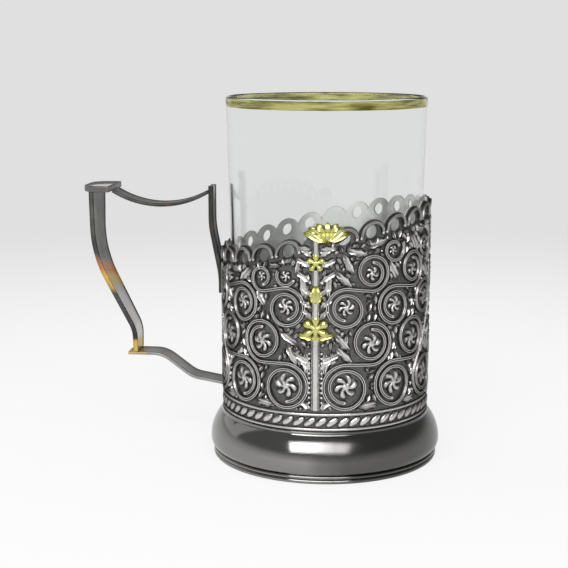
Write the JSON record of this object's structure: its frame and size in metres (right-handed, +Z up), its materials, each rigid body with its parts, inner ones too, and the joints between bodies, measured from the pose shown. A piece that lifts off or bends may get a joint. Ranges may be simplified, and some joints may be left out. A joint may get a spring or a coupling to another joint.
{
  "type": "tea glass holder",
  "caption": "Tea glass holder with a scrollwork sleeve, swelling foot and angular strap handle, holding a clear tea glass with a gilt rim that lifts out.",
  "frame": {"origin": "centre of the foot on the table plane", "axes": "+Z up along the axis of the glass, -X towards the handle, -Y towards the gilt spray at the front"},
  "size_m": [0.1212, 0.0784, 0.1217],
  "materials": {
    "dark_silver": "silver plated and blackened",
    "relief_silver": "silver plated, darkened in the hollows",
    "polished_silver": "silver plated and polished",
    "handle_silver": "silver plated, worn warm at the edges",
    "gilding": "gilt, softly worn",
    "clear_glass": "clear, thin and polished"
  },
  "bodies": {
    "holder": {"sleeve": "dark_silver", "floor_plate": "polished_silver", "foot_ring": "polished_silver", "foot_lip": "polished_silver", "border_wire_lower": "relief_silver", "border_wire_upper": "relief_silver", "border_rope": "relief_silver", "scroll_wires": "relief_silver", "scroll_rosettes": "relief_silver", "filler_leaves": "relief_silver", "gilt_spray_front": "gilding", "gilt_spray_back": "gilding", "crest_petals": "relief_silver", "handle_thumb_plate": "handle_silver", "handle_grip_strap": "handle_silver", "handle_bridge_strap": "handle_silver", "handle_back_strap": "handle_silver", "handle_lower_arm": "handle_silver"},
    "glass": {"glass_tumbler": "clear_glass", "glass_gilt_band": "gilding"}
  },
  "joints": [
    {"name": "glass_lift", "type": "slide", "parent": "holder", "child": "glass", "axis": [0, 0, 1], "range_m": [0, 0.1]}
  ]
}
